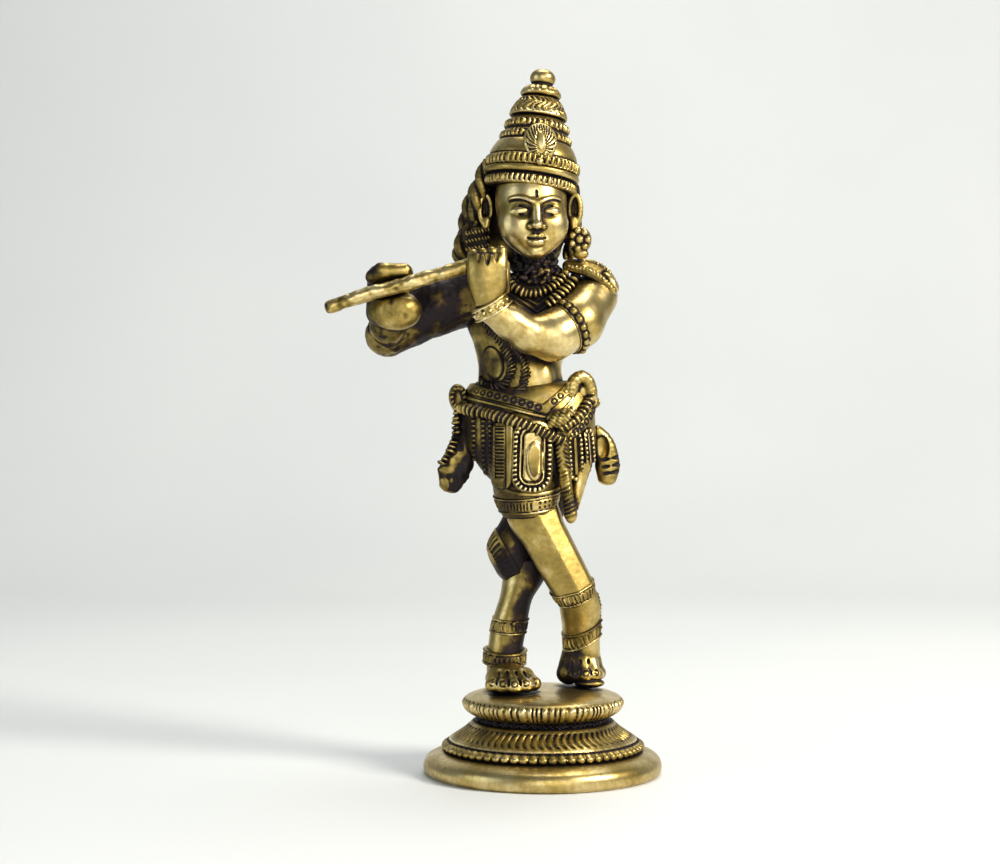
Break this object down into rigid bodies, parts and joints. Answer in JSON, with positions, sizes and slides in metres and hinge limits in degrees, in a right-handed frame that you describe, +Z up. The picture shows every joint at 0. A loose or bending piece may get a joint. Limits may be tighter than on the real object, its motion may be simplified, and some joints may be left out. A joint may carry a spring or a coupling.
{
  "type": "deity statuette",
  "caption": "Small cast brass statuette of a standing flute player with crossed legs and a tall tiered crown, on a round stepped pedestal.",
  "frame": {"origin": "centre of the round pedestal's flat underside", "axes": "+Z up through the pedestal's centre to the crown; the figure faces -Y, its own left side is towards +X, and the flute points to -X"},
  "size_m": [0.0536, 0.039, 0.115],
  "materials": {
    "polished_brass": "worn bright brass with a warm golden sheen on the high, rubbed surfaces",
    "chased_brass": "chased and beaded brass with dark tarnish left in the grooves",
    "darkened_brass": "tarnished olive brown brass in recesses"
  },
  "bodies": {
    "root": {"foot_disc": "polished_brass", "petal_skirt": "chased_brass", "waist_ring": "darkened_brass", "cushion_disc": "polished_brass", "flute": "chased_brass", "left_bracelet": "chased_brass", "left_hand": "polished_brass", "right_bracelet": "chased_brass", "right_hand": "polished_brass", "left_armlet": "chased_brass", "left_epaulette": "chased_brass", "left_upper_arm": "polished_brass", "left_forearm": "polished_brass", "right_upper_arm": "polished_brass", "right_forearm": "polished_brass", "crown_medallion": "chased_brass", "crown_finial": "polished_brass", "crown_upper_tier": "chased_brass", "crown_cone": "chased_brass", "crown_band": "chased_brass", "left_earring": "chased_brass", "right_earring": "chased_brass", "left_ear": "polished_brass", "right_ear": "polished_brass", "head": "polished_brass", "hair": "darkened_brass", "collar": "chased_brass", "inner_necklace": "chased_brass", "outer_necklace": "chased_brass", "chest_garland": "chased_brass", "waist_knot": "chased_brass", "front_tassel": "chased_brass", "front_petal": "chased_brass", "upper_belt": "chased_brass", "rope_belt": "chased_brass", "thigh_cuff": "chased_brass", "right_sash_knot": "chased_brass", "left_sash_knot": "chased_brass", "right_sash_tail": "chased_brass", "left_sash_tail": "chased_brass", "skirt_hips": "chased_brass", "skirt_thigh_wrap": "chased_brass", "left_knee_hem": "chased_brass", "right_knee_band": "chased_brass", "right_calf_band": "chased_brass", "left_calf_band": "chased_brass", "left_anklet": "chased_brass", "right_foot": "polished_brass", "left_foot": "polished_brass", "right_thigh": "polished_brass", "left_thigh": "chased_brass", "right_shin": "polished_brass", "left_shin": "polished_brass", "torso": "polished_brass", "neck": "polished_brass"}
  },
  "joints": []
}
